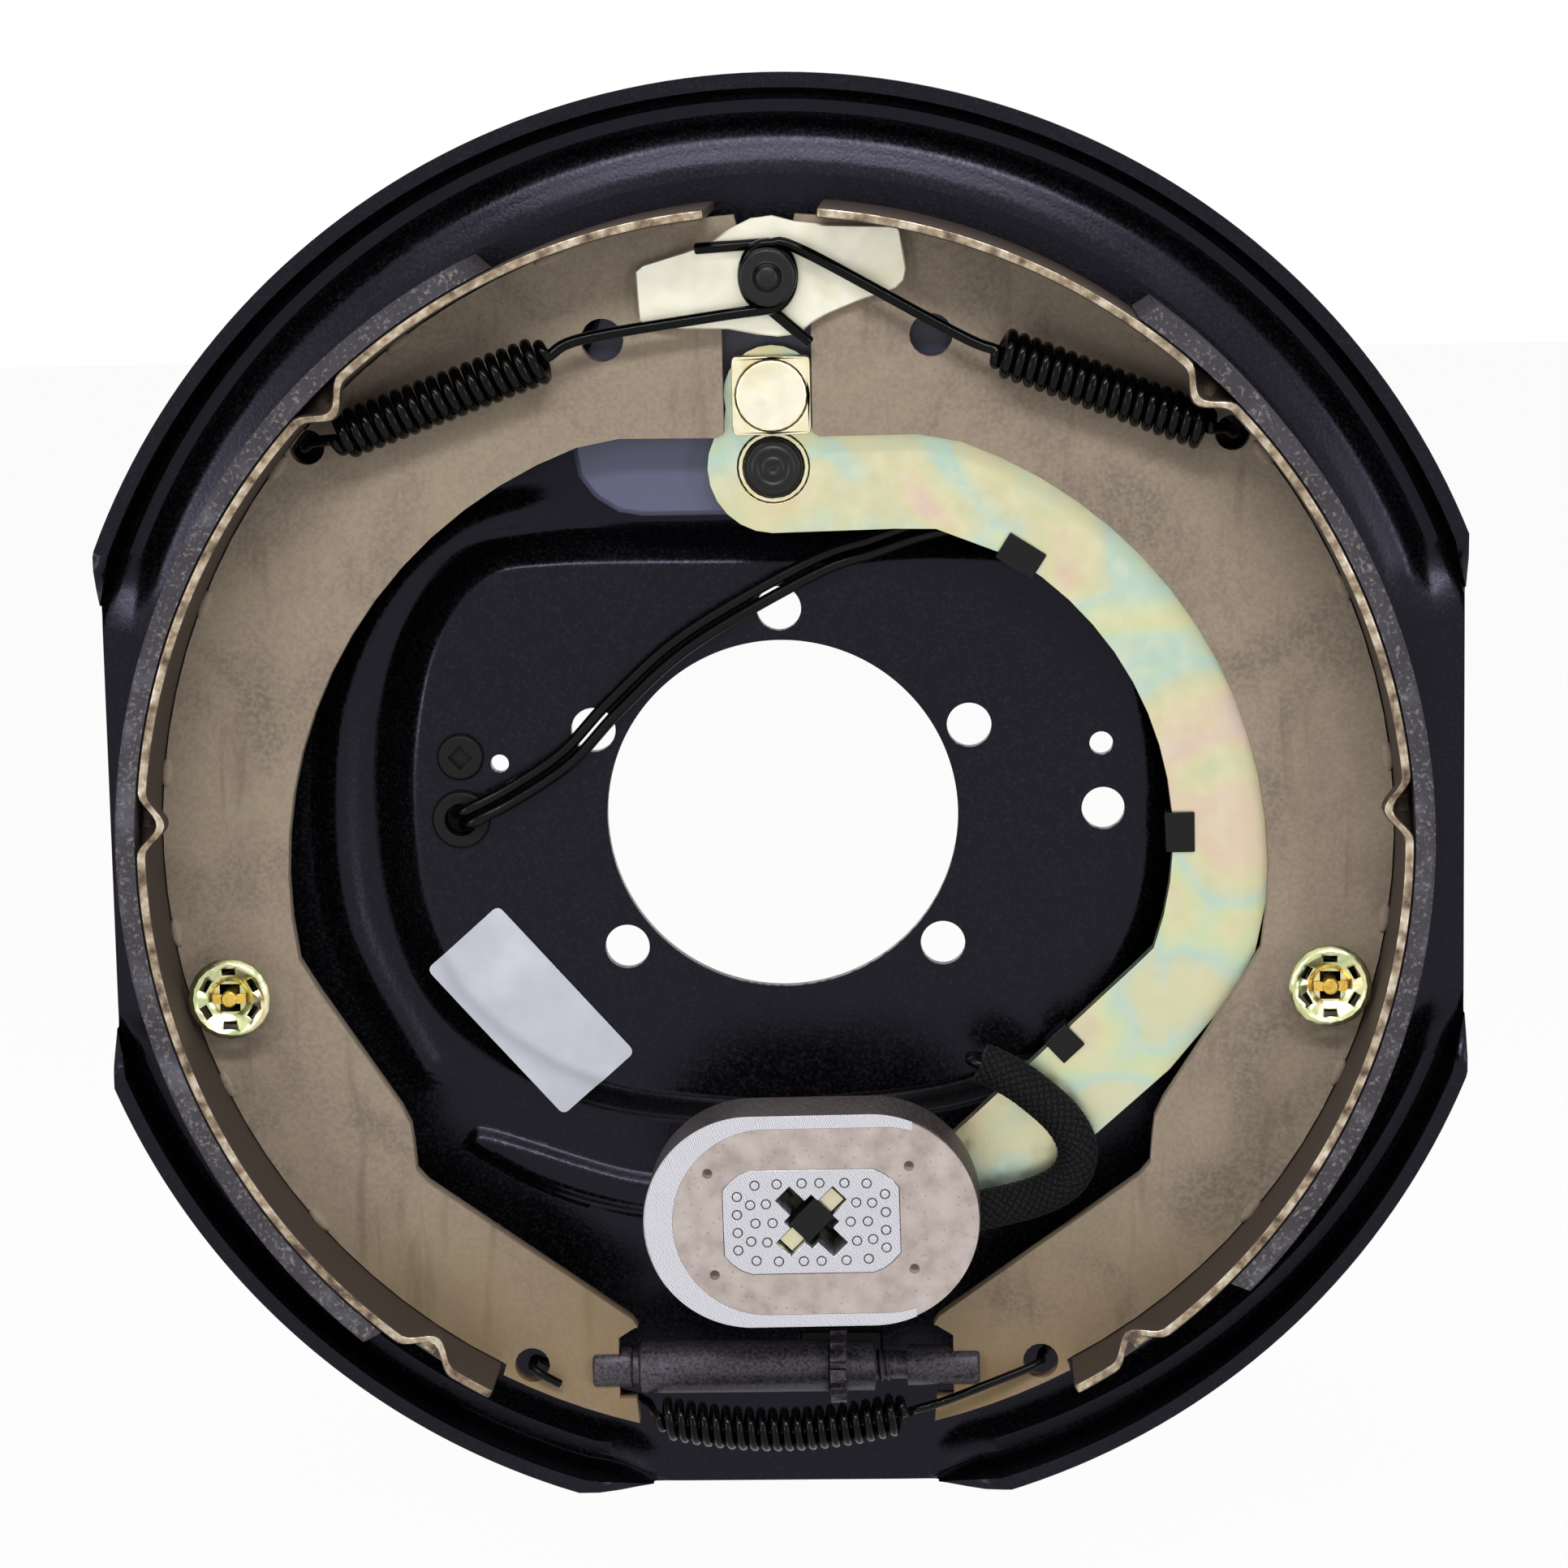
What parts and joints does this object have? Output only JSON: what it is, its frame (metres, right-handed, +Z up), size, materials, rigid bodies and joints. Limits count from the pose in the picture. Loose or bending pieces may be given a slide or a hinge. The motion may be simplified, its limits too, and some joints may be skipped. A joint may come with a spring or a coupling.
{
  "type": "electric trailer brake assembly",
  "caption": "Electric trailer drum brake: round backing plate with two lined shoes, magnet on a curved lever, return springs, screw adjuster and leads",
  "frame": {"origin": "axle centre on the mounting plane, the rear face of the raised mounting face", "axes": "+Z up towards the anchor post, +Y along the axle from the drum towards the axle flange, +X to the right as the brake is seen from the drum's side"},
  "size_m": [0.3244, 0.0695, 0.3411],
  "materials": {
    "black_paint": "satin black powder coat",
    "primer": "thin grey-brown primer",
    "table_steel": "bare rolled steel under thin primer",
    "lining": "moulded dark grey friction material",
    "yellow_zinc": "yellow zinc plate with a faint rainbow sheen",
    "pale_zinc": "pale zinc plate",
    "spring_steel": "glossy black coating",
    "phosphate": "dark phosphate",
    "magnet_case": "ground bright steel",
    "friction": "matt grey-tan friction compound",
    "sleeve": "black braided sleeve",
    "lead_wire": "black insulation",
    "rubber": "black rubber",
    "label": "bare silver-white label"
  },
  "bodies": {
    "backing": {"backing_plate": "black_paint", "anchor_bracket": "black_paint", "anchor_post": "phosphate", "pivot_post": "phosphate", "guide_plate": "pale_zinc", "wire_grommet": "rubber", "hole_plug": "rubber", "adjuster_slot_plug": "rubber", "label": "label", "left_hold_down_pin": "yellow_zinc", "right_hold_down_pin": "yellow_zinc", "left_hold_down_spring": "spring_steel", "right_hold_down_spring": "spring_steel", "left_return_spring": "spring_steel", "right_return_spring": "spring_steel", "lead_wire_a": "lead_wire", "lead_wire_b": "lead_wire", "lead_tail_a": "lead_wire", "lead_tail_b": "lead_wire", "lead_tie": "rubber"},
    "left_cup": {"left_hold_down_cup": "yellow_zinc"},
    "right_cup": {"right_hold_down_cup": "yellow_zinc"},
    "lever": {"lever_arm": "yellow_zinc", "lever_bush": "yellow_zinc", "magnet_tab": "yellow_zinc", "magnet_clip": "spring_steel", "magnet_spring": "spring_steel", "upper_wire_clip": "spring_steel", "middle_wire_clip": "spring_steel", "lower_wire_clip": "spring_steel", "lead_sleeve": "sleeve"},
    "block": {"lever_block": "pale_zinc"},
    "magnet": {"magnet_case": "magnet_case", "magnet_coil": "friction", "magnet_core": "magnet_case"},
    "left_shoe": {"left_shoe_web": "primer", "left_shoe_table": "table_steel", "left_lining": "lining", "adjuster_socket": "phosphate", "lower_spring": "spring_steel"},
    "star_nut": {"adjuster_nut": "phosphate"},
    "screw": {"adjuster_screw": "phosphate"},
    "right_shoe": {"right_shoe_web": "primer", "right_shoe_table": "table_steel", "right_lining": "lining"}
  },
  "joints": [
    {"name": "lever_pivot", "type": "hinge", "parent": "backing", "child": "lever", "pos_m": [0, -0.0158, 0.084], "axis": [0, 1, 0], "range_deg": [0, 6], "stiffness_Nm_per_rad": 3, "springref_deg": -40.11, "deforming": ["lead_wire_a", "lead_wire_b"]},
    {"name": "block_swivel", "type": "hinge", "parent": "lever", "child": "block", "pos_m": [0, -0.0211, 0.101], "axis": [0, 1, 0], "range_deg": [-6, 0]},
    {"name": "magnet_slide", "type": "slide", "parent": "lever", "child": "magnet", "axis": [0, 1, 0], "range_m": [0, 0.005], "stiffness_N_per_m": 900, "springref_m": -0.008, "deforming": ["magnet_spring", "lead_sleeve"]},
    {"name": "right_shoe_swing", "type": "hinge", "parent": "backing", "child": "right_shoe", "pos_m": [0.0389, -0.0211, -0.1304], "axis": [0, 1, 0], "range_deg": [0, 0.45], "deforming": ["right_return_spring"]},
    {"name": "fork_swivel", "type": "hinge", "parent": "right_shoe", "child": "screw", "pos_m": [0.0389, -0.0211, -0.1304], "axis": [0, 1, 0], "range_deg": [-0.45, 0]},
    {"name": "left_shoe_rock", "type": "hinge", "parent": "backing", "child": "left_shoe", "pos_m": [0, -0.0211, 0.1288], "axis": [0, 1, 0], "range_deg": [0, 0.486], "deforming": ["left_return_spring", "lower_spring"]},
    {"name": "adjuster_turn", "type": "hinge", "parent": "left_shoe", "child": "star_nut", "pos_m": [0.0116, -0.0211, -0.1304], "axis": [1, 0, 0], "range_deg": [0, 500]},
    {"name": "left_cup_press", "type": "slide", "parent": "backing", "child": "left_cup", "axis": [0, 1, 0], "range_m": [0, 0.003], "stiffness_N_per_m": 1500, "springref_m": -0.004, "deforming": ["left_hold_down_spring"]},
    {"name": "right_cup_press", "type": "slide", "parent": "backing", "child": "right_cup", "axis": [0, 1, 0], "range_m": [0, 0.003], "stiffness_N_per_m": 1500, "springref_m": -0.004, "deforming": ["right_hold_down_spring"]}
  ],
  "couplings": [
    {"joint": "block_swivel", "follows": "lever_pivot", "ratio": -1},
    {"joint": "right_shoe_swing", "follows": "lever_pivot", "ratio": 0.0735},
    {"joint": "fork_swivel", "follows": "lever_pivot", "ratio": -0.0735},
    {"joint": "adjuster_turn", "follows": "left_shoe_rock", "ratio": 1017.9}
  ]
}
